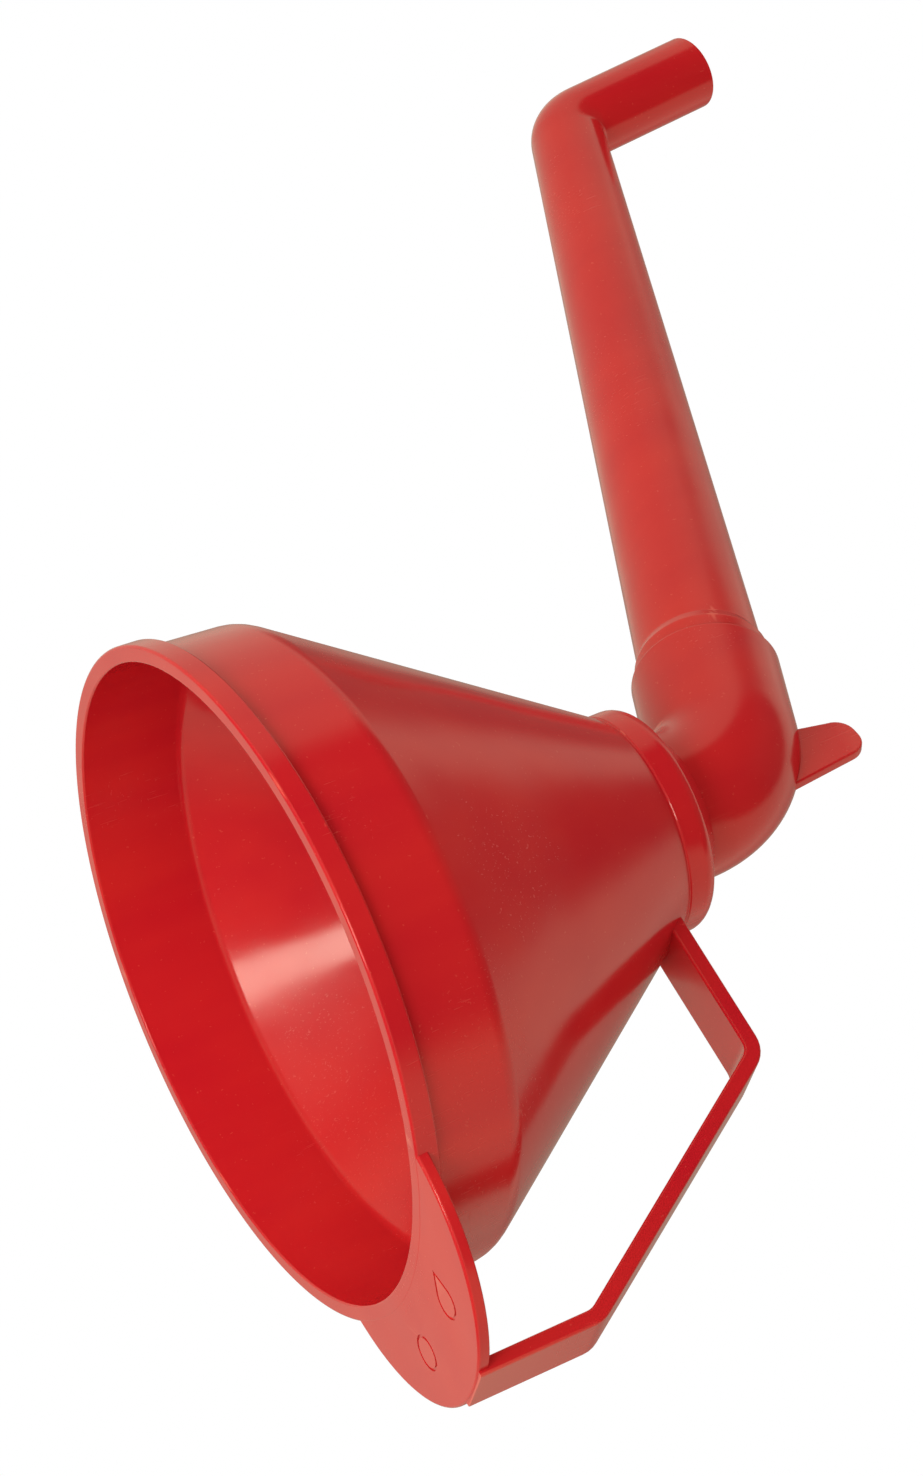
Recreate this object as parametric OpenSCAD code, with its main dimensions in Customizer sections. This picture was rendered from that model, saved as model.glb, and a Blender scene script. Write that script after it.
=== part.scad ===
// Plastic fuel funnel with a swivelling offset spout.
// It stands mouth down: the rim plane is z = 0 and the bowl's axis is Z.
// The strap handle and the tab are on +X. The spout leaves on the other side.
// All lengths are in millimetres.

/* [Bowl] */
// radius of the rim's outer edge
rim_r = 80; // [60:1:120]
// width of the rim's face
rim_w = 4; // [2:0.1:8]
// height of the lip band around the rim
lip_h = 5.7; // [3:0.1:10]
// how much the inside of the skirt narrows up to the cone
skirt_draft = 1.4; // [0.5:0.1:4]
// height where the skirt would meet the cone if the corner were sharp
corner_z = 26.1; // [15:0.1:50]
// outside rounding of that corner
corner_round = 8; // [0:0.5:15]
// height where the cone ends under the collar
cone_top_z = 101.2; // [70:0.1:150]
// wall of the skirt
skirt_wall = 1.6; // [1:0.1:3]
// wall of the cone
cone_wall = 2.2; // [1.2:0.1:4]

/* [Neck] */
// width of the collar's top around the elbow
collar_w = 9.2; // [6:0.1:16]
// height of the collar
collar_h = 8.1; // [5:0.1:15]
// how far the collar stands proud of the cone's top
collar_step = 0.3; // [0.1:0.1:2]
// wall of the collar
collar_wall = 2.2; // [1.2:0.1:4]
// rounding of the collar's top edge
collar_round = 5; // [1:0.5:8]
// wall of the sleeve that the elbow turns in
sleeve_wall = 1.85; // [1.2:0.05:3]
// length of that sleeve
sleeve_h = 11.3; // [6:0.1:20]
// running clearance of the two swivels, on the radius
swivel_gap = 0.05; // [0.02:0.01:0.1]

/* [Handle] */
// width of the strap
strap_w = 16; // [10:0.5:30]
// thickness of the strap
strap_t = 3.8; // [2:0.1:6]
// how far the tab and the strap stand out from the rim
tab_out = 27; // [15:0.5:50]
// distance of the strap's top leg below the collar
strap_drop = 3.9; // [1:0.1:20]
// lean of the strap's middle leg from upright
strap_lean = 32; // [20:0.5:50]
// height of the lower bend
strap_low_z = 31; // [10:0.5:60]
// inside rounding of the two bends
strap_round = 4; // [1:0.5:10]
// radius of the tab's disc
tab_r = 41; // [25:0.5:60]
// thickness of the tab
tab_t = 2.5; // [1.5:0.1:5]
// depth of the two signs in the tab's face
sign_depth = 0.3; // [0.1:0.05:0.6]

/* [Spout] */
// turn of the spout away from the side opposite the handle
spout_turn = 16.5; // [-180:0.5:180]
// outside radius of the elbow
elbow_r = 18; // [14:0.1:26]
// wall of the elbow
elbow_wall = 2.4; // [1.5:0.1:4]
// inside radius of the elbow's bend
elbow_inside = 3; // [1:0.5:20]
// straight stretch of the elbow between the collar and the bend
neck_straight = 7.1; // [5:0.1:30]
// straight stretch of the elbow between the bend and the mouth
mouth_straight = 23.3; // [12:0.1:50]
// rise of the tube above the level
tube_rise = 22.9; // [0:0.1:60]
// width of the thumb tongue at its root
tongue_w = 16; // [8:0.5:24]
// width of the thumb tongue near its end
tongue_end_w = 10.8; // [6:0.1:20]
// how far the tongue stands out above the elbow's back
tongue_rise = 15.7; // [5:0.1:40]
// thickness of the tongue
tongue_t = 2.6; // [1.5:0.1:5]

/* [Tube] */
// how far the bead that stops the tube stands out from its plug
bead_lift = 0.85; // [0.3:0.05:2]
// length of the bead
bead_l = 7; // [4:0.5:12]
// step in from the plug to the tube's thick end
tube_step = 0.35; // [0:0.05:3]
// outside radius of the tube at the tip
tip_r = 10.25; // [7:0.05:14]
// wall of the tube
tube_wall = 1.5; // [1:0.1:3]
// length from the elbow's mouth to the middle of the tip's bend
tube_l = 222.3; // [100:0.1:400]
// angle of the tip's bend
tip_turn = 58.3; // [0:0.1:90]
// length of the tip from the middle of the bend
tip_l = 45.3; // [25:0.1:90]

/* [Strainer] */
// distance of the strainer ring's lower edge below the sleeve
strainer_drop = 16; // [10:0.5:50]
// height of the ring
strainer_h = 5; // [3:0.1:10]
// clearance of the ring inside the cone, on the radius
strainer_gap = 0.35; // [0.2:0.05:1]
// width of the ring's face
strainer_w = 3.2; // [2:0.1:6]
// thickness of the gauze disc
gauze_t = 0.8; // [0.5:0.1:2]

/* [Hidden] */
$fn = 64;
plastic = [0.76, 0.10, 0.10];
brass = [0.72, 0.56, 0.25];
black = [0.08, 0.08, 0.09];
// radii and heights of the bowl
mouth_r = rim_r - rim_w;
corner_r = mouth_r - skirt_draft + skirt_wall;
collar_r = elbow_r + collar_w;
cone_top_r = collar_r - collar_step;
collar_top_z = cone_top_z + collar_h;
// the cone: how fast its radius falls with height, and its wall across
cone_fall = (corner_r - cone_top_r) / (cone_top_z - corner_z);
cone_across = cone_wall * sqrt(1 + cone_fall * cone_fall);
// elbow and sleeve
elbow_bore = elbow_r - elbow_wall;
sleeve_r = elbow_r + swivel_gap;
sleeve_low_z = collar_top_z - sleeve_h;
collar_cap = 1.9;
pocket_r = collar_r - collar_wall;
bend_angle = 90 - tube_rise;
elbow_bend = elbow_r + elbow_inside;
bend_run = elbow_bend * tan(bend_angle / 2);
bend_z = collar_top_z + neck_straight;
cross_z = bend_z + bend_run;
elbow_mouth = bend_run + mouth_straight;
tongue_top_z = bend_z + sqrt(pow(elbow_bend + elbow_r, 2) - pow(elbow_bend, 2)) + tongue_rise;
flange_z = collar_top_z + 0.2;
flange_r = collar_r - collar_round + 0.3;
flange_top_z = collar_top_z + 3.9;
catch_z = sleeve_low_z - 0.25;
catch_h = 2.6;
catch_r = elbow_r + 0.8;
// handle
strap_reach = rim_r + tab_out + 0.4;
tab_x = rim_r + tab_out - tab_r;
sign_x = rim_r + 0.4 * tab_out;
strap_top_z = cone_top_z - strap_drop;
strap_top_x = strap_reach - (strap_top_z - strap_low_z) * tan(strap_lean);
// tube, with distances from where the axes cross
plug_r = elbow_bore - swivel_gap;
bead_r = plug_r + bead_lift;
tube_r = plug_r - tube_step;
plug_low = bend_run + 1.6;
plug_bore = plug_r - 1.55;
rib_s = elbow_mouth - 6;
rib_h = 2;
rib_lift = 0.35;
bead_s = elbow_mouth + 0.2;
tube_s = bead_s + bead_l;
tip_s = elbow_mouth + tube_l;
tip_root = tip_r * tan(tip_turn / 2) + 0.7;
strainer_z = sleeve_low_z - strainer_drop;

// inside radius of the cone at a height
function cone_in(z) = corner_r - cone_across - (z - corner_z) * cone_fall;
// height where the inside of the cone has a radius
function cone_in_z(r) = corner_z + (corner_r - cone_across - r) / cone_fall;

// a corner of an outline, rounded with n short sides
function unit(v) = v / norm(v);
function rounded(a, b, c, r, n) =
    let (
        u = unit(a - b),
        w = unit(c - b),
        half = acos(u * w) / 2,
        mid = b + unit(u + w) * (r / sin(half)),
        p = b + u * (r / tan(half)),
        q = b + w * (r / tan(half)),
        from = atan2(p[1] - mid[1], p[0] - mid[0]),
        swing = atan2(q[1] - mid[1], q[0] - mid[0]) - from,
        turn = swing > 180 ? swing - 360 : swing < -180 ? swing + 360 : swing
    )
    [for (i = [0:n]) mid + r * [cos(from + turn * i / n), sin(from + turn * i / n)]];

// an outline from points [x, y, rounding]
function outline(p) = [
    for (i = [0:len(p) - 1])
        let (
            a = p[(i + len(p) - 1) % len(p)],
            b = p[i],
            c = p[(i + 1) % len(p)],
            n = b[2] > 3 ? 8 : 4
        )
        each b[2] > 0
            ? rounded([a[0], a[1]], [b[0], b[1]], [c[0], c[1]], b[2], n)
            : [[b[0], b[1]]]
];

// the bowl's wall from the mouth to the sleeve
bowl_profile = outline([
    [mouth_r, 0, 0.5],
    [rim_r, 0, 0.6],
    [rim_r - 0.3, lip_h, 0.7],
    [mouth_r + skirt_wall + 0.1, lip_h + 0.2, 0.3],
    [corner_r, corner_z, corner_round],
    [cone_top_r, cone_top_z, 0],
    [collar_r, cone_top_z + 0.4, 0],
    [collar_r, collar_top_z, collar_round],
    [sleeve_r, collar_top_z, 0.4],
    [sleeve_r, sleeve_low_z, 0.4],
    [sleeve_r + sleeve_wall, sleeve_low_z, 0.4],
    [sleeve_r + sleeve_wall, collar_top_z - collar_cap, 0.5],
    [pocket_r, collar_top_z - collar_cap, 3.2],
    [pocket_r, cone_in_z(pocket_r), 0],
    [mouth_r - skirt_draft, cone_in_z(mouth_r - skirt_draft), 5]
]);

// the strap's middle leg runs beside the cone
strap_path = outline([
    [cone_top_r, strap_top_z, 0],
    [strap_top_x, strap_top_z, strap_round + strap_t],
    [strap_reach, strap_low_z, strap_round + strap_t],
    [strap_reach, 0, 0],
    [strap_reach - strap_t, 0, 0],
    [strap_reach - strap_t, strap_low_z - strap_t * tan(strap_lean / 2), strap_round],
    [strap_top_x - strap_t * tan(45 - strap_lean / 2), strap_top_z - strap_t, strap_round],
    [cone_top_r, strap_top_z - strap_t, 0]
]);

module funnel_bowl() {
    color(plastic)
    difference() {
        union() {
            rotate_extrude() polygon(bowl_profile);
            difference() {
                union() {
                    translate([0, strap_w / 2, 0])
                    rotate([90, 0, 0])
                    linear_extrude(strap_w) polygon(strap_path);
                    translate([tab_x, 0, 0]) cylinder(h = tab_t, r = tab_r);
                }
                // the strap and the tab stop inside the bowl's wall
                rotate_extrude() polygon([
                    [0, -1],
                    [mouth_r + 0.8, -1],
                    [mouth_r + 0.2, corner_z - 4],
                    [cone_in(corner_z + 4) + 0.8, corner_z + 4],
                    [cone_in(cone_top_z) + 0.8, cone_top_z],
                    [0, cone_top_z]
                ]);
            }
            tab_border();
        }
        tab_signs();
    }
}

// the thin raised edge on the tab's back
module tab_border() {
    difference() {
        translate([tab_x, 0, tab_t - 0.5]) cylinder(h = 1, r = tab_r);
        translate([tab_x, 0, tab_t - 1]) cylinder(h = 3, r = tab_r - 1.6);
        translate([0, 0, tab_t - 1]) cylinder(h = 3, r = rim_r - 1);
    }
}

// two plain signs sunk into the tab's face: a drop and a ring
module tab_signs() {
    translate([sign_x, 13, -1])
    rotate_extrude() translate([3.6, 0]) square([0.7, 1 + sign_depth]);
    translate([sign_x, -13, -1])
    rotate([0, 0, 20])
    linear_extrude(1 + sign_depth)
    difference() {
        drop(4.2);
        drop(3.5);
    }
}

// a drop's outline: a round end and the two lines that run from it to a point
module drop(r) {
    polygon([
        for (i = [0:16])
            let (a = -125 + 250 * i / 16)
            [r * cos(a), r * sin(a)],
        [-r / cos(55), 0]
    ]);
}

// puts +Z along the tube's axis, with the origin where the axes cross
module along_tube() {
    rotate([0, 0, -spout_turn])
    translate([0, 0, cross_z])
    rotate([0, -bend_angle, 0])
    children();
}

// a bent pipe from the neck to the elbow's mouth
module elbow_run(r, low_z, top_s) {
    rotate([0, 0, -spout_turn]) {
        translate([0, 0, low_z]) cylinder(h = bend_z - low_z, r = r);
        translate([-elbow_bend, 0, bend_z])
        rotate([90, 0, 0])
        rotate_extrude(angle = bend_angle)
        translate([elbow_bend, 0])
        circle(r = r);
    }
    along_tube()
    translate([0, 0, bend_run])
    cylinder(h = top_s - bend_run, r = r);
}

module spout_elbow() {
    color(plastic)
    difference() {
        union() {
            elbow_run(elbow_r, catch_z - catch_h, elbow_mouth - 2);
            along_tube() rotate_extrude() polygon(outline([
                [elbow_r - 2, elbow_mouth - 2, 0],
                [elbow_r, elbow_mouth - 2, 0],
                [elbow_r, elbow_mouth, 1.7],
                [elbow_r - 2, elbow_mouth, 0]
            ]));
            // the flange that rests on the collar
            rotate_extrude() polygon(outline([
                [elbow_r - 1, flange_z, 0],
                [flange_r, flange_z, 0.5],
                [elbow_r + 0.5, flange_top_z, 0],
                [elbow_r - 1, flange_top_z + 0.5, 0]
            ]));
            // the catch under the sleeve
            rotate_extrude() polygon([
                [elbow_r - 1, catch_z],
                [catch_r, catch_z],
                [catch_r, catch_z - 0.8],
                [elbow_r - 0.4, catch_z - catch_h],
                [elbow_r - 1, catch_z - catch_h]
            ]);
            tongue();
        }
        elbow_run(elbow_bore, catch_z - catch_h - 1, elbow_mouth + 1);
        // the groove for the tube's rib
        along_tube()
        translate([0, 0, rib_s - 0.2])
        cylinder(h = rib_h + 0.4, r = plug_r + rib_lift + 0.15);
    }
}

// the flat tongue on the back of the elbow, for the thumb
module tongue() {
    end_r = 0.46 * tongue_end_w;
    rotate([0, 0, -spout_turn])
    translate([0, tongue_t / 2, 0])
    rotate([90, 0, 0])
    linear_extrude(tongue_t)
    polygon(outline([
        [-tongue_w / 2, bend_z + elbow_r + 6, 0],
        [tongue_w / 2, bend_z + elbow_r + 1, 0],
        [tongue_end_w / 2, tongue_top_z, end_r],
        [-tongue_end_w / 2, tongue_top_z, end_r]
    ]));
}

// the tube's outside or inside: taper, a ball at the bend, and the tip,
// which is straight and even beyond its root
module tube_run(low_r, top_r, low_s, extra) {
    translate([0, 0, low_s])
    cylinder(h = tip_s - low_s, r1 = low_r, r2 = top_r);
    translate([0, 0, tip_s])
    rotate([90, 0, 0])
    sphere(r = top_r + 0.12);
    translate([0, 0, tip_s])
    rotate([0, tip_turn, 0])
    rotate_extrude() polygon([
        [0, 0],
        [top_r + 0.06, 0],
        [top_r, tip_root],
        [top_r, tip_l + extra],
        [0, tip_l + extra]
    ]);
}

module spout_tube() {
    color(plastic)
    along_tube()
    difference() {
        union() {
            tube_run(tube_r, tip_r, tube_s, 0);
            // plug, rib and bead in one turned outline
            rotate_extrude() polygon(outline([
                [0, plug_low, 0],
                [plug_r - 0.4, plug_low, 0],
                [plug_r, plug_low + 1, 0],
                [plug_r, rib_s, 0],
                [plug_r + rib_lift, rib_s + 0.5, 0],
                [plug_r + rib_lift, rib_s + rib_h - 0.5, 0],
                [plug_r, rib_s + rib_h, 0],
                [plug_r, bead_s, 0],
                [bead_r, bead_s, 0.8],
                [bead_r, bead_s + 0.6 * bead_l, 2.5],
                [tube_r + 0.1, tube_s, 0],
                [tube_r - 0.4, tube_s + 0.3, 0],
                [0, tube_s + 0.3, 0]
            ]));
        }
        translate([0, 0, plug_low - 1])
        cylinder(h = tube_s - plug_low + 1 - 6, r = plug_bore);
        translate([0, 0, tube_s - 6])
        cylinder(h = 6, r1 = plug_bore, r2 = tube_r - tube_wall);
        tube_run(tube_r - tube_wall, tip_r - tube_wall, tube_s, 1);
    }
}

module strainer_ring() {
    top_z = strainer_z + strainer_h;
    low_r = cone_in(strainer_z) - strainer_gap;
    top_r = cone_in(top_z) - strainer_gap;
    inner_r = top_r - strainer_w;
    mid_z = strainer_z + strainer_h / 2;
    color(black)
    difference() {
        rotate_extrude() polygon([
            [inner_r, strainer_z],
            [low_r, strainer_z],
            [top_r, top_z],
            [inner_r, top_z]
        ]);
        translate([0, 0, mid_z - gauze_t / 2])
        cylinder(h = gauze_t, r = inner_r + 1.5);
    }
}

module strainer_gauze() {
    top_r = cone_in(strainer_z + strainer_h) - strainer_gap;
    color(brass)
    translate([0, 0, strainer_z + strainer_h / 2 - gauze_t / 2])
    cylinder(h = gauze_t, r = top_r - strainer_w + 1.5);
}

funnel_bowl();
spout_elbow();
spout_tube();
strainer_ring();
strainer_gauze();
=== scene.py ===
"""Looks of the red plastic funnel: its five pieces, their materials, the studio and the camera.

Sizes are millimetres, named as in the CAD source, and turned into metres when a mesh is made.
The mouth's plane is z = 0, the neck points to +Z and the handle to +X.
"""

import math

import bmesh
import bpy
from mathutils import Matrix, Vector


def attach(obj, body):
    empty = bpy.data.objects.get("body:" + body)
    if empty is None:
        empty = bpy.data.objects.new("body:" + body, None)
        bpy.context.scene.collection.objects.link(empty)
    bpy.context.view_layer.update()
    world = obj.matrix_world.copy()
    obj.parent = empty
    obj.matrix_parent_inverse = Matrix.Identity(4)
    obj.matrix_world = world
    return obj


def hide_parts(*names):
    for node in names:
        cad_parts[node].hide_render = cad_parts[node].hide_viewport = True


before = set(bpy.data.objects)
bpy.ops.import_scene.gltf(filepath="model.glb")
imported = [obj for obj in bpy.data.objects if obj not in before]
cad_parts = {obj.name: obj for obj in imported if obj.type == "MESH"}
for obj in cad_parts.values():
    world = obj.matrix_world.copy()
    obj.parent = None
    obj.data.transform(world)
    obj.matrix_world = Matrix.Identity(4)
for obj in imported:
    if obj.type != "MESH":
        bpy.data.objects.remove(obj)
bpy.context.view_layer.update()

MM = 0.001

# ---- sizes of the real pieces, in millimetres ----
RIM_R = 80.0
RIM_W = 4.0
LIP_H = 5.7
SKIRT_DRAFT = 1.4
SKIRT_WALL = 1.6
CORNER_Z = 26.1
CORNER_ROUND = 8.0
CONE_TOP_Z = 101.2
CONE_WALL = 2.2
COLLAR_W = 9.2
COLLAR_H = 8.1
COLLAR_STEP = 0.3
COLLAR_WALL = 2.2
COLLAR_CAP = 1.9
COLLAR_ROUND = 5.0
SLEEVE_H = 11.3
SLEEVE_WALL = 1.85
SWIVEL_GAP = 0.05
STRAP_W = 16.0
STRAP_T = 3.8
STRAP_DROP = 3.9
STRAP_LEAN = 32.0
STRAP_LOW_Z = 31.0
STRAP_ROUND = 4.0
STRAP_EDGE = 0.6
TAB_OUT = 27.0
TAB_R = 41.0
TAB_T = 2.5
TAB_LIFT = 0.05
TAB_BORDER = 1.6
SIGN_DEPTH = 0.3
SPOUT_TURN = 16.5
ELBOW_R = 18.0
ELBOW_WALL = 2.4
ELBOW_INSIDE = 3.0
NECK_STRAIGHT = 7.1
MOUTH_STRAIGHT = 23.3
TUBE_RISE = 22.9
TONGUE_W = 16.0
TONGUE_END_W = 10.8
TONGUE_RISE = 15.7
TONGUE_T = 2.6
BEAD_LIFT = 0.85
BEAD_L = 7.0
TUBE_STEP = 0.35
TIP_R = 10.25
TUBE_WALL = 1.5
TUBE_L = 222.3
TIP_TURN = 58.3
TIP_L = 45.3
TIP_INSIDE = 1.5  # inside radius of the tip's bend
STRAINER_DROP = 16.0
STRAINER_H = 5.0
STRAINER_GAP = 0.35
STRAINER_W = 3.2
GAUZE_PITCH = 1.5
GAUZE_WIRE = 0.42
GAUZE_HELD = 1.4  # how far the gauze reaches into the ring's slot
CATCH_L = 2.6
CATCH_LIFT = 0.8
RIB_LIFT = 0.35
GROOVE_DEPTH = 0.45
TAB_RAISE = 0.5  # the border's height above the tab's back
RING_SIGN_R = 4.3
DROP_SIGN_R = 4.2
SIGN_LINE = 0.7
SIGN_APART = 13.0
DROP_LEAN = 20.0

# ---- how finely the meshes are made ----
BOWL_SIDES = 240
RING_SIDES = 160
PIPE_SIDES = 128
SIGN_SIDES = 48
WIRE_SIDES = 6
RING_STEP = 7.7
BEYOND = 1.0  # how far a cutting shape stands out of what it cuts

# ---- sizes that follow from them ----
MOUTH_R = RIM_R - RIM_W
CORNER_R = MOUTH_R - SKIRT_DRAFT + SKIRT_WALL
COLLAR_R = ELBOW_R + COLLAR_W
CONE_TOP_R = COLLAR_R - COLLAR_STEP
COLLAR_TOP_Z = CONE_TOP_Z + COLLAR_H
CONE_FALL = (CORNER_R - CONE_TOP_R) / (CONE_TOP_Z - CORNER_Z)
CONE_ACROSS = CONE_WALL * math.hypot(1, CONE_FALL)
SLEEVE_R = ELBOW_R + SWIVEL_GAP
SLEEVE_LOW_Z = COLLAR_TOP_Z - SLEEVE_H
POCKET_R = COLLAR_R - COLLAR_WALL
ELBOW_BORE = ELBOW_R - ELBOW_WALL
BEND_ANGLE = 90 - TUBE_RISE
ELBOW_BEND = ELBOW_R + ELBOW_INSIDE
BEND_RUN = ELBOW_BEND * math.tan(math.radians(BEND_ANGLE / 2))
BEND_Z = COLLAR_TOP_Z + NECK_STRAIGHT
CROSS_Z = BEND_Z + BEND_RUN
ELBOW_MOUTH = BEND_RUN + MOUTH_STRAIGHT
CATCH_Z = SLEEVE_LOW_Z - 0.25
FLANGE_R = COLLAR_R - COLLAR_ROUND + 0.3
PLUG_R = ELBOW_BORE - SWIVEL_GAP
PLUG_LOW = BEND_RUN + 1.6
PLUG_BORE = PLUG_R - 1.55
BEAD_R = PLUG_R + BEAD_LIFT
TUBE_R = PLUG_R - TUBE_STEP
RIB_S = ELBOW_MOUTH - 6
BEAD_S = ELBOW_MOUTH + 0.2
TUBE_S = BEAD_S + BEAD_L
TIP_S = ELBOW_MOUTH + TUBE_L
STRAP_REACH = RIM_R + TAB_OUT + 0.4
STRAP_TOP_Z = CONE_TOP_Z - STRAP_DROP
STRAP_TOP_X = STRAP_REACH - (STRAP_TOP_Z - STRAP_LOW_Z) * math.tan(math.radians(STRAP_LEAN))
STRAINER_Z = SLEEVE_LOW_Z - STRAINER_DROP
SPOUT_WAY = Vector((-math.cos(math.radians(SPOUT_TURN)), math.sin(math.radians(SPOUT_TURN)), 0))
UP = Vector((0, 0, 1))


def cone_in(z):
    """Inside radius of the cone at a height."""
    return CORNER_R - CONE_ACROSS - (z - CORNER_Z) * CONE_FALL


def cone_in_z(r):
    """Height at which the inside of the cone has a radius."""
    return CORNER_Z + (CORNER_R - CONE_ACROSS - r) / CONE_FALL


# ---- outlines ----
def fillet(a, b, c, radius, step=11.0):
    """Points of a round corner at b, at most step degrees apart."""
    a, b, c = Vector(a), Vector(b), Vector(c)
    u, w = (a - b).normalized(), (c - b).normalized()
    half = math.acos(max(-1.0, min(1.0, u.dot(w)))) / 2
    if half > math.radians(89.5):
        return [b]
    reach = radius / math.tan(half)
    reach = min(reach, 0.49 * (a - b).length, 0.49 * (c - b).length)
    radius = reach * math.tan(half)
    middle = b + (u + w).normalized() * (radius / math.sin(half))
    p, q = b + u * reach - middle, b + w * reach - middle
    turn = math.atan2(p.x * q.y - p.y * q.x, p.dot(q))
    count = max(2, math.ceil(abs(math.degrees(turn)) / step))
    return [middle + Matrix.Rotation(turn * i / count, 2) @ p for i in range(count + 1)]


def outline(corners, closed=True):
    """A list of points from corners (x, y, rounding)."""
    points = []
    last = len(corners) - 1
    for i, (x, y, radius) in enumerate(corners):
        if radius > 0 and (closed or 0 < i < last):
            before, after = corners[i - 1], corners[(i + 1) % len(corners)]
            points += fillet(before[:2], (x, y), after[:2], radius)
        else:
            points.append(Vector((x, y)))
    return points


# ---- meshes ----
def make_piece(name, points, faces):
    """A smooth mesh object from points in millimetres."""
    mesh = bpy.data.meshes.new(name)
    mesh.from_pydata([p * MM for p in points], [], faces)
    mesh.validate()
    obj = bpy.data.objects.new(name, mesh)
    bpy.context.scene.collection.objects.link(obj)
    return obj


def ring_faces(rings, sides, closed=True):
    """Quads between rings of points, and from the last ring to the first."""
    faces = []
    for i in range(rings if closed else rings - 1):
        j = (i + 1) % rings
        for k in range(sides):
            m = (k + 1) % sides
            faces.append((i * sides + k, i * sides + m, j * sides + m, j * sides + k))
    return faces


def turned_points(profile, sides, centre):
    """A ring of points for each (radius, height)."""
    points = []
    for r, z in profile:
        for k in range(sides):
            a = 2 * math.pi * k / sides
            points.append(Vector((centre[0] + r * math.cos(a), centre[1] + r * math.sin(a), z)))
    return points


def turned(name, profile, sides, centre=(0, 0)):
    """A solid turned from a closed outline of (radius, height) about an upright axis."""
    points = turned_points(profile, sides, centre)
    return make_piece(name, points, ring_faces(len(profile), sides))


def turned_solid(name, profile, sides, centre=(0, 0)):
    """The same for an open outline whose two ends lie on the axis, so the solid has no hole."""
    inner = profile[1:-1]
    points = turned_points(inner, sides, centre)
    faces = ring_faces(len(inner), sides, closed=False)
    faces.append(tuple(reversed(range(sides))))
    faces.append(tuple(range(len(points) - sides, len(points))))
    return make_piece(name, points, faces)


def extruded(name, shape, low, high, place):
    """A flat outline given a thickness; place turns (x, y, height) into a point."""
    count = len(shape)
    points = [place(p[0], p[1], low) for p in shape] + [place(p[0], p[1], high) for p in shape]
    faces = [tuple(reversed(range(count))), tuple(range(count, 2 * count))]
    faces += [(i, (i + 1) % count, count + (i + 1) % count, count + i) for i in range(count)]
    return make_piece(name, points, faces)


class Run:
    """The middle line of a bent pipe, in the upright plane of the spout.

    Its legs are (length, turn): turn is in degrees away from upright, 0 for a straight leg.
    """

    def __init__(self, start, lean, legs):
        self.legs = []
        place, lean, s = Vector(start), math.radians(lean), 0.0
        for length, turn in legs:
            turn = math.radians(turn)
            self.legs.append((s, length, place.copy(), lean, turn))
            place, lean = self.along(self.legs[-1], length)
            s += length
        self.length = s

    def along(self, leg, d):
        _, length, place, lean, turn = leg
        if turn == 0:
            return place + d * self.way(lean), lean
        radius, now = length / turn, lean + turn * d / length
        side = SPOUT_WAY * (math.cos(lean) - math.cos(now)) + UP * (math.sin(now) - math.sin(lean))
        return place + radius * side, now

    @staticmethod
    def way(lean):
        return SPOUT_WAY * math.sin(lean) + UP * math.cos(lean)

    def at(self, s):
        leg = self.legs[0]
        for one in self.legs:
            if s >= one[0]:
                leg = one
        return self.along(leg, s - leg[0])

    def rings(self, step=2.5):
        """Distances at which a bend needs a ring."""
        found = []
        for s, length, _, _, turn in self.legs:
            if turn:
                count = math.ceil(abs(math.degrees(turn)) / step)
                found += [s + length * i / count for i in range(count + 1)]
        return found


def swept(name, profile, run, sides):
    """A pipe from a closed outline of (distance, radius) along a run.

    Straight stretches get a ring every RING_STEP, so that no face is long and thin.
    """
    stops = sorted(run.rings() + [i * RING_STEP for i in range(1, int(run.length / RING_STEP))])
    full = []
    for i, (s0, r0) in enumerate(profile):
        s1, r1 = profile[(i + 1) % len(profile)]
        full.append((s0, r0))
        between = [s for s in stops if min(s0, s1) + 0.05 < s < max(s0, s1) - 0.05]
        for s in between if s1 > s0 else reversed(between):
            full.append((s, r0 + (r1 - r0) * (s - s0) / (s1 - s0)))
    across = UP.cross(SPOUT_WAY)
    points = []
    for s, r in full:
        middle, lean = run.at(s)
        side = run.way(lean).cross(across)
        for k in range(sides):
            a = 2 * math.pi * k / sides
            points.append(middle + r * (math.cos(a) * side + math.sin(a) * across))
    return make_piece(name, points, ring_faces(len(full), sides))


def mend_normals(obj):
    """Merges points that lie on each other and turns every face outward."""
    work = bmesh.new()
    work.from_mesh(obj.data)
    bmesh.ops.remove_doubles(work, verts=work.verts, dist=1e-6)
    bmesh.ops.recalc_face_normals(work, faces=work.faces)
    work.to_mesh(obj.data)
    work.free()


def combine(obj, tool, operation):
    """Joins tool to obj, or cuts it away, and leaves only obj."""
    mend_normals(obj)
    mend_normals(tool)
    change = obj.modifiers.new("combine", "BOOLEAN")
    change.solver = "EXACT"
    change.operation = operation
    change.object = tool
    graph = bpy.context.evaluated_depsgraph_get()
    mesh = bpy.data.meshes.new_from_object(obj.evaluated_get(graph))
    obj.modifiers.clear()
    obj.data = mesh
    bpy.data.objects.remove(tool)


def finish_piece(obj, material, node, body, sharp=38):
    """Smooth shading with crisp edges, then the piece's material, node and body."""
    mend_normals(obj)
    mesh = obj.data
    for face in mesh.polygons:
        face.use_smooth = True
    mesh.set_sharp_from_angle(angle=math.radians(sharp))
    weight = obj.modifiers.new("even_normals", "WEIGHTED_NORMAL")
    weight.keep_sharp = True
    weight.weight = 80
    mesh.materials.clear()
    mesh.materials.append(material)
    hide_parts(node)
    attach(obj, body)


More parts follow.
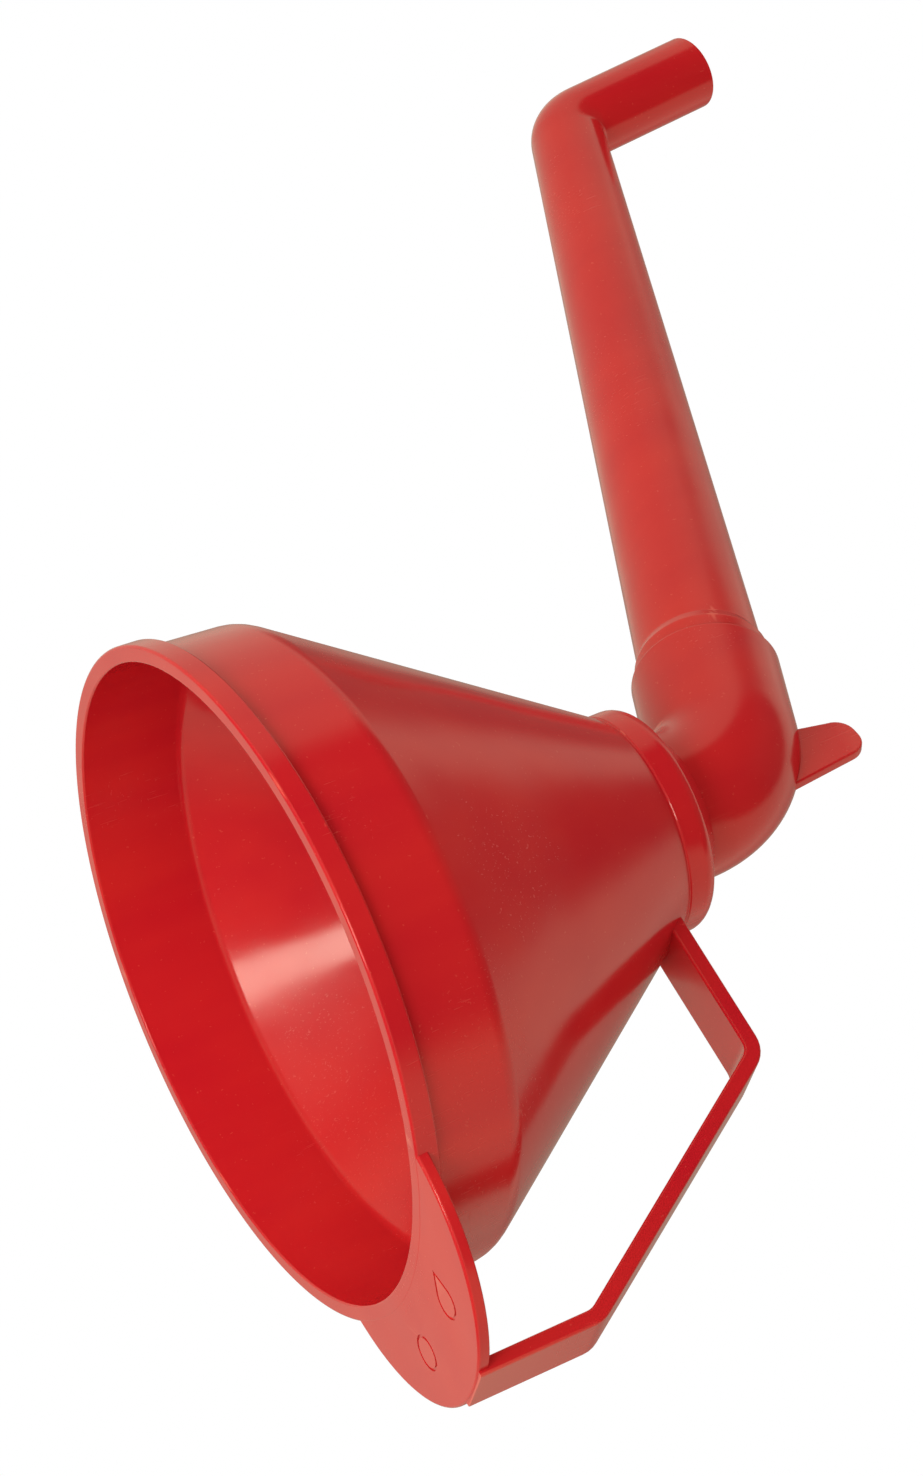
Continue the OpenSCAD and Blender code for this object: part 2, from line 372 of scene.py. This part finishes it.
# ---- materials ----
class Nodes:
    """A node tree whose nodes are added and linked in one call each."""

    def __init__(self, tree):
        self.tree = tree

    def add(self, kind, inputs=(), **settings):
        made = self.tree.nodes.new("ShaderNode" + kind)
        for key, value in settings.items():
            setattr(made, key, value)
        for key, value in dict(inputs).items():
            self.put(made.inputs[key], value)
        return made

    def put(self, socket, value):
        if isinstance(value, bpy.types.NodeSocket):
            self.tree.links.new(value, socket)
        else:
            socket.default_value = value


class Shader(Nodes):
    """A material, with the nodes that its colour and surface are made of."""

    def __init__(self, name):
        self.material = bpy.data.materials.new(name)
        self.material.use_nodes = True
        super().__init__(self.material.node_tree)
        self.main = self.tree.nodes["Principled BSDF"]

    def scaled(self, coordinates, scale, turn=(0, 0, 0)):
        angles = tuple(math.radians(t) for t in turn)
        made = self.add("Mapping", {"Vector": coordinates, "Scale": scale, "Rotation": angles})
        return made.outputs["Vector"]

    def noise(self, coordinates, scale, detail=2.0, rough=0.5):
        return self.add(
            "TexNoise",
            {"Vector": coordinates, "Scale": scale, "Detail": detail, "Roughness": rough},
        ).outputs["Fac"]

    def remap(self, value, low, high, to_low=0.0, to_high=1.0):
        ends = {"From Min": low, "From Max": high, "To Min": to_low, "To Max": to_high}
        return self.add("MapRange", {"Value": value, **ends}).outputs["Result"]

    def math(self, operation, a, b):
        return self.add("Math", {0: a, 1: b}, operation=operation).outputs["Value"]

    def blend(self, factor, a, b):
        made = self.add("Mix", data_type="RGBA")
        self.put(made.inputs[0], factor)
        self.put(made.inputs[6], a)
        self.put(made.inputs[7], b)
        return made.outputs[2]


def red_plastic(name, deep, bright, pale, streak_turn):
    """Glossy injection-moulded polyethylene: flow marks, scuffs, hair scratches, and paler convex
    edges that are partly rubbing wear and partly a painted edge highlight.
    """
    s = Shader(name)
    here = s.add("TexCoord").outputs["Object"]
    cloud = s.noise(here, 16, 3)
    flow = s.noise(s.scaled(here, (70, 70, 9), streak_turn), 1, 2)
    tone = s.math("ADD", s.math("MULTIPLY", cloud, 0.6), s.math("MULTIPLY", flow, 0.4))
    colour = s.blend(s.remap(tone, 0.36, 0.64), deep, bright)
    # convex edges painted paler: partly rubbing wear, partly a painted highlight on the rounded
    # edges
    edge = s.remap(s.add("NewGeometry").outputs["Pointiness"], 0.514, 0.58)
    colour = s.blend(s.math("MULTIPLY", edge, 0.6), colour, pale)
    specks = s.remap(s.noise(here, 1100, 1), 0.735, 0.76)
    colour = s.blend(s.math("MULTIPLY", specks, 0.28), colour, pale)
    # hair scratches run in two directions, and only where the piece has been rubbed
    rubbed = s.remap(s.noise(here, 22, 3), 0.50, 0.62)
    one = s.remap(s.noise(s.scaled(here, (1800, 1800, 40), (0, 24, 0)), 1, 2), 0.66, 0.70)
    two = s.remap(s.noise(s.scaled(here, (1500, 45, 1500), (14, 0, 33)), 1, 2), 0.67, 0.71)
    hair = s.math("MULTIPLY", s.math("MAXIMUM", one, two), rubbed)
    s.put(s.main.inputs["Base Color"], s.blend(s.math("MULTIPLY", hair, 0.10), colour, pale))
    gloss = s.remap(cloud, 0.3, 0.7, 0.11, 0.18)
    scuffed = s.math("ADD", s.math("MULTIPLY", rubbed, 0.05), s.math("MULTIPLY", hair, 0.14))
    s.put(s.main.inputs["Roughness"], s.math("ADD", gloss, scuffed))
    s.put(s.main.inputs["IOR"], 1.51)
    s.put(s.main.inputs["Specular Tint"], (1.0, 0.95, 0.78, 1))
    # slow sink waves of the wall, the mould's fine skin, and the scratches
    wave = s.add("Bump", {"Height": s.noise(here, 26, 1), "Strength": 0.16, "Distance": 0.004})
    skin = s.add(
        "Bump",
        {
            "Height": s.noise(here, 420, 2),
            "Strength": 0.016,
            "Distance": 0.0006,
            "Normal": wave.outputs["Normal"],
        },
    )
    cuts = s.add(
        "Bump",
        {
            "Height": hair,
            "Strength": 0.12,
            "Distance": 0.0001,
            "Normal": skin.outputs["Normal"],
        },
        invert=True,
    )
    s.put(s.main.inputs["Normal"], cuts.outputs["Normal"])
    return s.material


def black_plastic(name):
    """Satin black moulding with a fine spark-eroded skin, paler grey along its convex edges."""
    s = Shader(name)
    here = s.add("TexCoord").outputs["Object"]
    cloud = s.noise(here, 60, 3)
    colour = s.blend(s.remap(cloud, 0.35, 0.65), (0.012, 0.012, 0.013, 1), (0.024, 0.023, 0.023, 1))
    # convex edges are mixed towards grey
    edge = s.remap(s.add("NewGeometry").outputs["Pointiness"], 0.515, 0.58)
    colour = s.blend(s.math("MULTIPLY", edge, 0.35), colour, (0.10, 0.10, 0.10, 1))
    s.put(s.main.inputs["Base Color"], colour)
    s.put(s.main.inputs["Roughness"], s.remap(cloud, 0.3, 0.7, 0.42, 0.58))
    skin = s.add("Bump", {"Height": s.noise(here, 1500, 2), "Strength": 0.25, "Distance": 0.0002})
    s.put(s.main.inputs["Normal"], skin.outputs["Normal"])
    return s.material


def brass_wire(name):
    """Drawn brass wire, a little tarnished in patches."""
    s = Shader(name)
    here = s.add("TexCoord").outputs["Object"]
    patch = s.noise(here, 90, 4)
    colour = s.blend(s.remap(patch, 0.38, 0.62), (0.62, 0.42, 0.13, 1), (0.42, 0.27, 0.10, 1))
    s.put(s.main.inputs["Base Color"], colour)
    s.put(s.main.inputs["Metallic"], 1.0)
    s.put(s.main.inputs["Roughness"], s.remap(patch, 0.3, 0.7, 0.24, 0.42))
    drawn = s.add("Bump", {"Height": s.noise(here, 3000, 2), "Strength": 0.15, "Distance": 0.0001})
    s.put(s.main.inputs["Normal"], drawn.outputs["Normal"])
    return s.material


# the third colour serves the scuffs and scratches, and the paler convex edges, which are partly a
# painted edge highlight
bowl_red = red_plastic(
    "red_polyethylene_bowl",
    (0.530, 0.008, 0.017, 1),
    (0.600, 0.017, 0.018, 1),
    (0.74, 0.115, 0.080, 1),
    (0, 0, 0),
)
elbow_red = red_plastic(
    "red_polyethylene_elbow",
    (0.500, 0.008, 0.017, 1),
    (0.565, 0.016, 0.018, 1),
    (0.70, 0.105, 0.075, 1),
    (0, 30, 0),
)
tube_red = red_plastic(
    "red_polyethylene_tube",
    (0.520, 0.009, 0.015, 1),
    (0.595, 0.018, 0.017, 1),
    (0.72, 0.110, 0.078, 1),
    (0, 67, 0),
)

# ---- the bowl: turned wall, strap, tab and its signs in one moulding ----
bowl = turned(
    "funnel_bowl_moulding",
    outline([
        (MOUTH_R, 0, 0.5),
        (RIM_R, 0, 0.7),
        (RIM_R - 0.3, LIP_H, 0.8),
        (MOUTH_R + SKIRT_WALL + 0.1, LIP_H + 0.2, 0.5),
        (CORNER_R, CORNER_Z, CORNER_ROUND),
        (CONE_TOP_R, CONE_TOP_Z, 0.3),
        (COLLAR_R, CONE_TOP_Z + 0.4, 0.2),
        (COLLAR_R, COLLAR_TOP_Z, COLLAR_ROUND),
        (SLEEVE_R, COLLAR_TOP_Z, 0.4),
        (SLEEVE_R, SLEEVE_LOW_Z, 0.4),
        (SLEEVE_R + SLEEVE_WALL, SLEEVE_LOW_Z, 0.4),
        (SLEEVE_R + SLEEVE_WALL, COLLAR_TOP_Z - COLLAR_CAP, 0.5),
        (POCKET_R, COLLAR_TOP_Z - COLLAR_CAP, 3.2),
        (POCKET_R, cone_in_z(POCKET_R), 1.0),
        (MOUTH_R - SKIRT_DRAFT, cone_in_z(MOUTH_R - SKIRT_DRAFT), 5),
    ]),
    BOWL_SIDES,
)

half_t = STRAP_T / 2
lean_tan = math.tan(math.radians(STRAP_LEAN / 2))
top_tan = math.tan(math.radians(45 - STRAP_LEAN / 2))
strap_line = outline(
    [
        (20, STRAP_TOP_Z - half_t, 0),
        (STRAP_TOP_X - half_t * top_tan, STRAP_TOP_Z - half_t, STRAP_ROUND + half_t),
        (STRAP_REACH - half_t, STRAP_LOW_Z - half_t * lean_tan, STRAP_ROUND + half_t),
        (STRAP_REACH - half_t, 0.35, 0),
    ],
    closed=False,
)
strap_section = outline([
    (-STRAP_W / 2, -half_t, STRAP_EDGE),
    (STRAP_W / 2, -half_t, STRAP_EDGE),
    (STRAP_W / 2, half_t, STRAP_EDGE),
    (-STRAP_W / 2, half_t, STRAP_EDGE),
])
strap_points = []
for i, p in enumerate(strap_line):
    before, after = strap_line[max(i - 1, 0)], strap_line[min(i + 1, len(strap_line) - 1)]
    u, w = (p - before).normalized(), (after - p).normalized()
    way = (u + w).normalized() if u.length and w.length else (u if u.length else w)
    stretch = 1 / max(0.5, way.dot(u if u.length else w))
    out = Vector((-way.y, way.x))
    for across, thick in strap_section:
        strap_points.append(
            Vector((p.x + out.x * thick * stretch, across, p.y + out.y * thick * stretch))
        )
count = len(strap_section)
strap_faces = ring_faces(len(strap_line), count, closed=False)
strap_faces += [tuple(range(count)), tuple(range(len(strap_points) - count, len(strap_points)))]
strap = make_piece("strap", strap_points, strap_faces)

tab_x = RIM_R + TAB_OUT - TAB_R
tab = turned_solid(
    "tab",
    outline(
        [
            (0, TAB_LIFT, 0),
            (TAB_R, TAB_LIFT, 0.7),
            (TAB_R, TAB_T + TAB_RAISE, 0.5),
            (TAB_R - TAB_BORDER, TAB_T + TAB_RAISE, 0.4),
            (TAB_R - TAB_BORDER, TAB_T, 0.3),
            (0, TAB_T, 0),
        ],
        closed=False,
    ),
    RING_SIDES,
    (tab_x, 0),
)
combine(tab, strap, "UNION")

# what would stick into the bowl is cut off just outside the wall's inner face
into_wall = 0.8
inside = turned_solid(
    "inside",
    [
        Vector((0, -BEYOND)),
        Vector((MOUTH_R + into_wall, -BEYOND)),
        Vector((MOUTH_R + 0.2, CORNER_Z - 4)),
        Vector((cone_in(CORNER_Z + 4) + into_wall, CORNER_Z + 4)),
        Vector((cone_in(CONE_TOP_Z) + into_wall, CONE_TOP_Z)),
        Vector((0, CONE_TOP_Z)),
    ],
    BOWL_SIDES,
)
combine(tab, inside, "DIFFERENCE")
combine(bowl, tab, "UNION")

# two plain signs sunk into the tab's face: a ring and a drop
sign_x = RIM_R + 0.4 * TAB_OUT
sign_low, sign_top = -BEYOND, TAB_LIFT + SIGN_DEPTH
ring_sign = turned(
    "ring_sign",
    [
        (RING_SIGN_R - SIGN_LINE, sign_low),
        (RING_SIGN_R, sign_low),
        (RING_SIGN_R, sign_top),
        (RING_SIGN_R - SIGN_LINE, sign_top),
    ],
    SIGN_SIDES,
    (sign_x, SIGN_APART),
)
combine(bowl, ring_sign, "DIFFERENCE")


def drop_outline(r):
    """A drop: most of a circle, drawn out to a point where the two sides leave it."""
    opens, parts = 125, 24
    arc = [math.radians(-opens + 2 * opens * i / parts) for i in range(parts + 1)]
    points = [Vector((r * math.cos(a), r * math.sin(a))) for a in arc]
    return points + [Vector((-r / math.cos(math.radians(180 - opens)), 0))]


drop_turn = Matrix.Rotation(math.radians(DROP_LEAN), 2)
outer_drop, inner_drop = drop_outline(DROP_SIGN_R), drop_outline(DROP_SIGN_R - SIGN_LINE)
drop_points = []
for z in (sign_low, sign_top):
    for shape in (outer_drop, inner_drop):
        for p in shape:
            q = drop_turn @ p
            drop_points.append(Vector((sign_x + q.x, q.y - SIGN_APART, z)))
n = len(outer_drop)
drop_faces = []
for i in range(n):
    j = (i + 1) % n
    drop_faces.append((i, j, n + j, n + i))
    drop_faces.append((2 * n + i, 3 * n + i, 3 * n + j, 2 * n + j))
    drop_faces.append((i, 2 * n + i, 2 * n + j, j))
    drop_faces.append((n + i, n + j, 3 * n + j, 3 * n + i))
combine(bowl, make_piece("drop_sign", drop_points, drop_faces), "DIFFERENCE")
finish_piece(bowl, bowl_red, "funnel_bowl", "bowl")

# ---- the elbow: bent pipe with catch, flange, rounded mouth and thumb tongue ----
elbow_low = CATCH_Z - CATCH_L
elbow_arc = ELBOW_BEND * math.radians(BEND_ANGLE)
elbow_run = Run(
    (0, 0, elbow_low),
    0,
    [(BEND_Z - elbow_low, 0), (elbow_arc, BEND_ANGLE), (MOUTH_STRAIGHT + 5, 0)],
)


def up_neck(z):
    """Distance along the elbow at a height of its neck."""
    return z - elbow_low


mouth_s = BEND_Z - elbow_low + elbow_arc + MOUTH_STRAIGHT
rib_in_elbow = mouth_s - 6
elbow_profile = outline([
    (0, ELBOW_BORE, 0.3),
    (0, ELBOW_R - 0.4, 0.5),
    (1.8, ELBOW_R + CATCH_LIFT, 0.2),
    (CATCH_L, ELBOW_R + CATCH_LIFT, 0.2),
    (CATCH_L, ELBOW_R, 0),
    (up_neck(COLLAR_TOP_Z + 0.2), ELBOW_R, 0),
    (up_neck(COLLAR_TOP_Z + 0.2), FLANGE_R, 0.5),
    (up_neck(COLLAR_TOP_Z + 3.9), ELBOW_R + 0.5, 0.6),
    (up_neck(COLLAR_TOP_Z + 4.4), ELBOW_R, 0),
    (mouth_s, ELBOW_R, 0.9),
    (mouth_s, ELBOW_BORE, 0.4),
    (rib_in_elbow + 2.2, ELBOW_BORE, 0),
    (rib_in_elbow + 1.9, ELBOW_BORE + GROOVE_DEPTH, 0),
    (rib_in_elbow + 0.1, ELBOW_BORE + GROOVE_DEPTH, 0),
    (rib_in_elbow - 0.2, ELBOW_BORE, 0),
])
elbow = swept("spout_elbow_moulding", elbow_profile, elbow_run, PIPE_SIDES)

# the tongue's root follows the outside of the bend, a little under its surface
outer_bend = ELBOW_BEND + ELBOW_R
root_r = outer_bend - 1.2
root_parts = 10
tongue_top = BEND_Z + math.sqrt(outer_bend**2 - ELBOW_BEND**2) + TONGUE_RISE
tongue_shape = [
    Vector((x, BEND_Z + math.sqrt(root_r**2 - (x + ELBOW_BEND) ** 2)))
    for x in [-TONGUE_W / 2 + TONGUE_W * i / root_parts for i in range(root_parts + 1)]
]
tongue_round = 0.46 * TONGUE_END_W
tongue_shape += outline(
    [
        (TONGUE_W / 2, BEND_Z + ELBOW_R + 3, 0),
        (TONGUE_END_W / 2, tongue_top, tongue_round),
        (-TONGUE_END_W / 2, tongue_top, tongue_round),
        (-TONGUE_W / 2, BEND_Z + ELBOW_R + 8, 0),
    ],
    closed=False,
)[1:-1]
across_spout = UP.cross(SPOUT_WAY)
tongue = extruded(
    "tongue",
    tongue_shape,
    -TONGUE_T / 2,
    TONGUE_T / 2,
    lambda x, z, h: -x * SPOUT_WAY + z * UP + h * across_spout,
)
soft_edge = tongue.modifiers.new("soft_edge", "BEVEL")
soft_edge.width = 0.5 * MM
soft_edge.segments = 3
soft_edge.limit_method = "ANGLE"
soft_edge.angle_limit = math.radians(50)
graph = bpy.context.evaluated_depsgraph_get()
tongue.data = bpy.data.meshes.new_from_object(tongue.evaluated_get(graph))
tongue.modifiers.clear()
combine(elbow, tongue, "UNION")
finish_piece(elbow, elbow_red, "spout_elbow", "elbow")

# ---- the tube: plug with its rib, bead, taper, smooth bend and open tip ----
tip_bend = TIP_R + TIP_INSIDE
tip_reach = tip_bend * math.tan(math.radians(TIP_TURN / 2))
tip_arc = tip_bend * math.radians(TIP_TURN)
tube_start = Vector((0, 0, CROSS_Z)) + PLUG_LOW * Run.way(math.radians(BEND_ANGLE))
tube_run = Run(
    tube_start,
    BEND_ANGLE,
    [(TIP_S - tip_reach - PLUG_LOW, 0), (tip_arc, -TIP_TURN), (TIP_L - tip_reach, 0)],
)


def on_tube(s):
    """Distance from the plug's end, for a distance measured from the crossing of the axes."""
    return s - PLUG_LOW


taper_end = on_tube(TIP_S - tip_reach)
taper_in = TUBE_R - TUBE_WALL
tip_in = TIP_R - TUBE_WALL
tube_profile = outline([
    (0, PLUG_BORE, 0.4),
    (0, PLUG_R - 0.4, 0.3),
    (1, PLUG_R, 0.4),
    (on_tube(RIB_S), PLUG_R, 0.2),
    (on_tube(RIB_S + 0.5), PLUG_R + RIB_LIFT, 0.2),
    (on_tube(RIB_S + 1.5), PLUG_R + RIB_LIFT, 0.2),
    (on_tube(RIB_S + 2), PLUG_R, 0.2),
    (on_tube(BEAD_S), PLUG_R, 0.1),
    (on_tube(BEAD_S), BEAD_R, 1.6),
    (on_tube(BEAD_S + 0.62 * BEAD_L), BEAD_R, 2.0),
    (on_tube(TUBE_S), TUBE_R + 0.05, 1.2),
    (taper_end, TIP_R, 0),
    (tube_run.length, TIP_R, 0.5),
    (tube_run.length, tip_in, 0.4),
    (taper_end, tip_in, 0),
    (on_tube(TUBE_S), taper_in, 2),
    (on_tube(TUBE_S - 6), PLUG_BORE, 2),
])
tube = swept("spout_tube_moulding", tube_profile, tube_run, PIPE_SIDES)
finish_piece(tube, tube_red, "spout_tube", "tube")

# ---- the strainer: black ring and woven brass gauze ----
strainer_top = STRAINER_Z + STRAINER_H
ring_low_r = cone_in(STRAINER_Z) - STRAINER_GAP
ring_top_r = cone_in(strainer_top) - STRAINER_GAP
ring_inner_r = ring_top_r - STRAINER_W
gauze_z = STRAINER_Z + STRAINER_H / 2
gauze_r = ring_inner_r + GAUZE_HELD
slot_r = gauze_r + 0.1
slit = GAUZE_WIRE + 0.1
ring = turned(
    "strainer_ring_moulding",
    outline([
        (ring_inner_r, STRAINER_Z, 0.5),
        (ring_low_r, STRAINER_Z, 0.5),
        (ring_top_r, strainer_top, 0.4),
        (ring_inner_r, strainer_top, 0.5),
        (ring_inner_r, gauze_z + slit, 0),
        (slot_r, gauze_z + slit, 0),
        (slot_r, gauze_z - slit, 0),
        (ring_inner_r, gauze_z - slit, 0),
    ]),
    RING_SIDES,
)
finish_piece(ring, black_plastic("black_moulding"), "strainer_ring", "strainer")


def woven_disc(name, radius, z, pitch, wire):
    """A plain weave: each wire waves over and under the wires it crosses."""
    points, faces, sides = [], [], WIRE_SIDES
    reach = int(radius / pitch)
    crossings = [i * pitch / 2 for i in range(-2 * reach - 2, 2 * reach + 3)]
    for lengthways in (0, 1):
        for row in range(-reach, reach + 1):
            offset = row * pitch
            chord = math.sqrt(max(radius**2 - offset**2, 0))
            stops = [-chord] + [d for d in crossings if abs(d) < chord] + [chord]
            first = len(points)
            for d in stops:
                phase = math.pi * (d / pitch + row + lengthways)
                lift = 0.5 * wire * math.cos(phase)
                for k in range(sides):
                    a = 2 * math.pi * (k + 0.5) / sides
                    side, up = 0.5 * wire * math.cos(a), 0.5 * wire * math.sin(a)
                    flat = (d, offset + side) if lengthways == 0 else (offset + side, d)
                    points.append(Vector((flat[0], flat[1], z + lift + up)))
            faces += [
                tuple(first + i for i in f)
                for f in ring_faces(len(stops), sides, closed=False)
            ]
            faces.append(tuple(first + k for k in range(sides)))
            last = len(points) - sides
            faces.append(tuple(last + k for k in reversed(range(sides))))
    return make_piece(name, points, faces)


gauze = woven_disc("strainer_gauze_weave", gauze_r, gauze_z, GAUZE_PITCH, GAUZE_WIRE)
finish_piece(gauze, brass_wire("brass_wire"), "strainer_gauze", "strainer", sharp=70)

# ---- studio ----
scene = bpy.context.scene
scene.view_settings.view_transform = "Standard"

CAMERA_PLACE = Vector((0.37821, -0.86840, -0.31784))
CAMERA_TARGET = Vector((-0.01922, -0.03694, 0.06091))
CAMERA_ROLL = -68.577
LENS = 109.76

camera_data = bpy.data.cameras.new("camera")
camera_data.lens = LENS
camera_data.sensor_width = 36
camera_data.clip_start = 0.05
camera_data.clip_end = 50
camera = bpy.data.objects.new("camera", camera_data)
scene.collection.objects.link(camera)
gaze = CAMERA_TARGET - CAMERA_PLACE
camera.rotation_mode = "QUATERNION"
roll = Matrix.Rotation(math.radians(CAMERA_ROLL), 3, gaze.normalized())
camera.rotation_quaternion = (roll @ gaze.to_track_quat("-Z", "Y").to_matrix()).to_quaternion()
camera.location = CAMERA_PLACE
scene.camera = camera


def soft_light(name, place, target, size, power, glossy):
    """A lamp that the camera doesn't see; glossy says whether it shows in reflections."""
    data = bpy.data.lights.new(name, "AREA")
    data.shape = "RECTANGLE"
    data.size, data.size_y = size
    data.energy = power
    light = bpy.data.objects.new(name, data)
    light.location = place
    light.rotation_mode = "QUATERNION"
    light.rotation_quaternion = (Vector(target) - Vector(place)).to_track_quat("-Z", "Y")
    light.visible_camera = False
    light.visible_glossy = glossy
    scene.collection.objects.link(light)


HEART = (-0.02, 0, 0.09)
soft_light("fill_front", (0.55, -1.10, -0.58), HEART, (1.2, 0.9), 6.4, False)
soft_light("fill_below", (-0.15, -0.55, -1.00), (0, 0, 0), (0.9, 0.9), 9.5, False)
soft_light("fill_left", (-1.20, -0.50, 0.80), HEART, (0.9, 0.9), 5.0, False)
soft_light("fill_top", (-0.10, -0.20, 1.70), HEART, (1.6, 1.6), 9.5, False)
soft_light("fill_back", (0.20, 1.20, 0.80), HEART, (1.0, 1.0), 5.0, False)
soft_light("window_below", (0.31, -0.74, -0.89), (0, 0.03, 0.02), (0.30, 0.42), 3.4, True)

# the room is plain white to look at; as a lamp it is dimmer, with four dark sides
ROOM_BRIGHT = 0.74
DARK_SIDES = (
    # direction, cosine where it begins, cosine where it is dark, strength there
    (Vector((0.127, -0.668, 0.732)), 0.60, 0.72, 0.06),
    (Vector((0.10, -0.20, -0.97)), 0.35, 0.70, 0.16),
    (Vector((-0.65, 0.35, 0.68)), 0.93, 0.985, 0.20),
    (Vector((-0.17, 0.83, 0.52)), 0.80, 0.95, 0.34),
)
world = bpy.data.worlds.new("studio")
scene.world = world
world.use_nodes = True
room = Nodes(world.node_tree)
direction = room.add("TexCoord").outputs["Generated"]
strength = ROOM_BRIGHT
for side, begin, full, left in DARK_SIDES:
    toward = room.add("VectorMath", {0: direction, 1: side.normalized()}, operation="DOT_PRODUCT")
    share = room.add(
        "MapRange",
        {
            "Value": toward.outputs["Value"],
            "From Min": begin,
            "From Max": full,
            "To Min": 1.0,
            "To Max": left / ROOM_BRIGHT,
        },
        interpolation_type="SMOOTHSTEP",
    )
    strength = room.add(
        "Math", {0: strength, 1: share.outputs["Result"]}, operation="MULTIPLY"
    ).outputs["Value"]
lamp = room.add("Background", {"Color": (1, 0.93, 0.73, 1), "Strength": strength})
seen = room.add("Background", {"Color": (1, 1, 1, 1), "Strength": 1.0})
either = room.add(
    "MixShader",
    {
        0: room.add("LightPath").outputs["Is Camera Ray"],
        1: lamp.outputs[0],
        2: seen.outputs[0],
    },
)
room.put(room.tree.nodes["World Output"].inputs["Surface"], either.outputs[0])

# a pale floor seen from above; from below, where the photo's view is from, it isn't in the way
FLOOR_HALF, FLOOR_Z = 20000, -0.3
floor_corners = [
    Vector((x * FLOOR_HALF, y * FLOOR_HALF, FLOOR_Z))
    for x, y in ((-1, -1), (1, -1), (1, 1), (-1, 1))
]
floor = make_piece("floor", floor_corners, [(0, 1, 2, 3)])
fs = Shader("pale_floor")
fs.put(fs.main.inputs["Roughness"], 0.6)
tint = fs.noise(fs.add("TexCoord").outputs["Object"], 3, 3)
fs.put(
    fs.main.inputs["Base Color"],
    fs.blend(tint, (0.86, 0.86, 0.85, 1), (0.90, 0.90, 0.89, 1)),
)
clear = fs.add("BsdfTransparent")
sided = fs.add("MixShader", {0: fs.add("NewGeometry").outputs["Backfacing"]})
fs.put(sided.inputs[1], fs.main.outputs["BSDF"])
fs.put(sided.inputs[2], clear.outputs["BSDF"])
fs.put(fs.tree.nodes["Material Output"].inputs["Surface"], sided.outputs["Shader"])
floor.data.materials.append(fs.material)
floor.visible_glossy = False
floor.visible_diffuse = False
floor.visible_shadow = False
